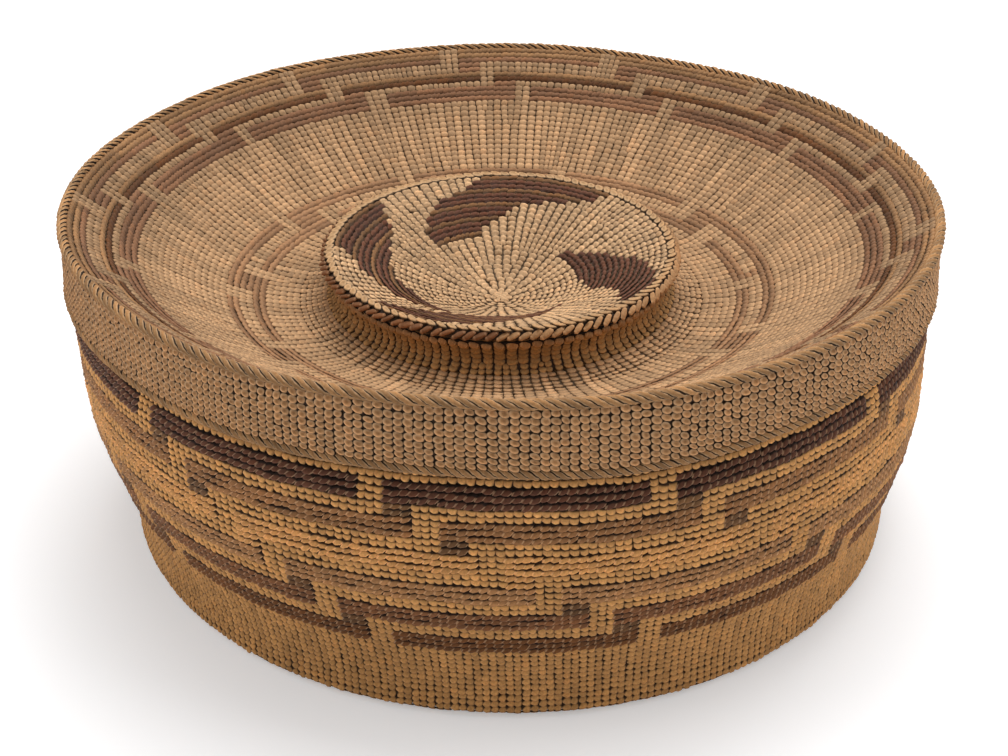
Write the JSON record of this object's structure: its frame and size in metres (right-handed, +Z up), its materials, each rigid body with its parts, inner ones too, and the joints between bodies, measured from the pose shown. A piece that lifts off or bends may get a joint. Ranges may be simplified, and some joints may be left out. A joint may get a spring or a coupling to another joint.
{
  "type": "rattle top basket",
  "caption": "Round lidded basket of twined split root with stepped pattern bands; the lid's dished knob is a hollow that holds loose rattling pebbles.",
  "frame": {"origin": "centre of the flat underside, on the surface that the basket stands on", "axes": "+Z up through the knob; -Y is the side seen in the picture, +X its right"},
  "size_m": [0.1808, 0.1808, 0.0721],
  "materials": {
    "root_tan": "twined split root, darkened with age, satin",
    "root_light": "twined split root, less darkened, satin",
    "root_cord": "three-strand twined edge, satin",
    "root_inner": "twined split root, inside, dull",
    "pebble": "small worn beach pebbles"
  },
  "bodies": {
    "basket": {"basket_base": "root_tan", "basket_wall": "root_tan", "basket_mouth_cord": "root_cord"},
    "lid": {"lid_corner_cord": "root_cord", "lid_flange": "root_tan", "lid_hem_cord": "root_cord", "lid_dish": "root_light", "knob_neck": "root_tan", "knob_edge_cord": "root_cord", "knob_bowl": "root_light", "chamber_floor": "root_inner", "chamber_lashing": "root_inner"},
    "pebble_a": {"pebble_1": "pebble"},
    "pebble_b": {"pebble_2": "pebble"},
    "pebble_c": {"pebble_3": "pebble"},
    "pebble_d": {"pebble_4": "pebble"},
    "pebble_e": {"pebble_5": "pebble"},
    "pebble_f": {"pebble_6": "pebble"},
    "pebble_g": {"pebble_7": "pebble"},
    "pebble_h": {"pebble_8": "pebble"}
  },
  "joints": [
    {"name": "lid_lift", "type": "slide", "parent": "basket", "child": "lid", "axis": [0, 0, 1], "range_m": [0, 0.06]},
    {"name": "pebble_1_roll", "type": "hinge", "parent": "lid", "child": "pebble_a", "pos_m": [0, 0, 0.046], "axis": [0, 0, 1], "range_deg": [-16, 16]},
    {"name": "pebble_2_roll", "type": "hinge", "parent": "lid", "child": "pebble_b", "pos_m": [0, 0, 0.046], "axis": [0, 0, 1], "range_deg": [-16, 16]},
    {"name": "pebble_3_roll", "type": "hinge", "parent": "lid", "child": "pebble_c", "pos_m": [0, 0, 0.046], "axis": [0, 0, 1], "range_deg": [-16, 16]},
    {"name": "pebble_4_roll", "type": "hinge", "parent": "lid", "child": "pebble_d", "pos_m": [0, 0, 0.046], "axis": [0, 0, 1], "range_deg": [-16, 16]},
    {"name": "pebble_5_roll", "type": "hinge", "parent": "lid", "child": "pebble_e", "pos_m": [0, 0, 0.046], "axis": [0, 0, 1], "range_deg": [-16, 16]},
    {"name": "pebble_6_roll", "type": "hinge", "parent": "lid", "child": "pebble_f", "pos_m": [0, 0, 0.046], "axis": [0, 0, 1], "range_deg": [-16, 16]},
    {"name": "pebble_7_roll", "type": "hinge", "parent": "lid", "child": "pebble_g", "pos_m": [0, 0, 0.046], "axis": [0, 0, 1], "range_deg": [-16, 16]},
    {"name": "pebble_8_roll", "type": "hinge", "parent": "lid", "child": "pebble_h", "pos_m": [0, 0, 0.046], "axis": [0, 0, 1], "range_deg": [-16, 16]}
  ]
}
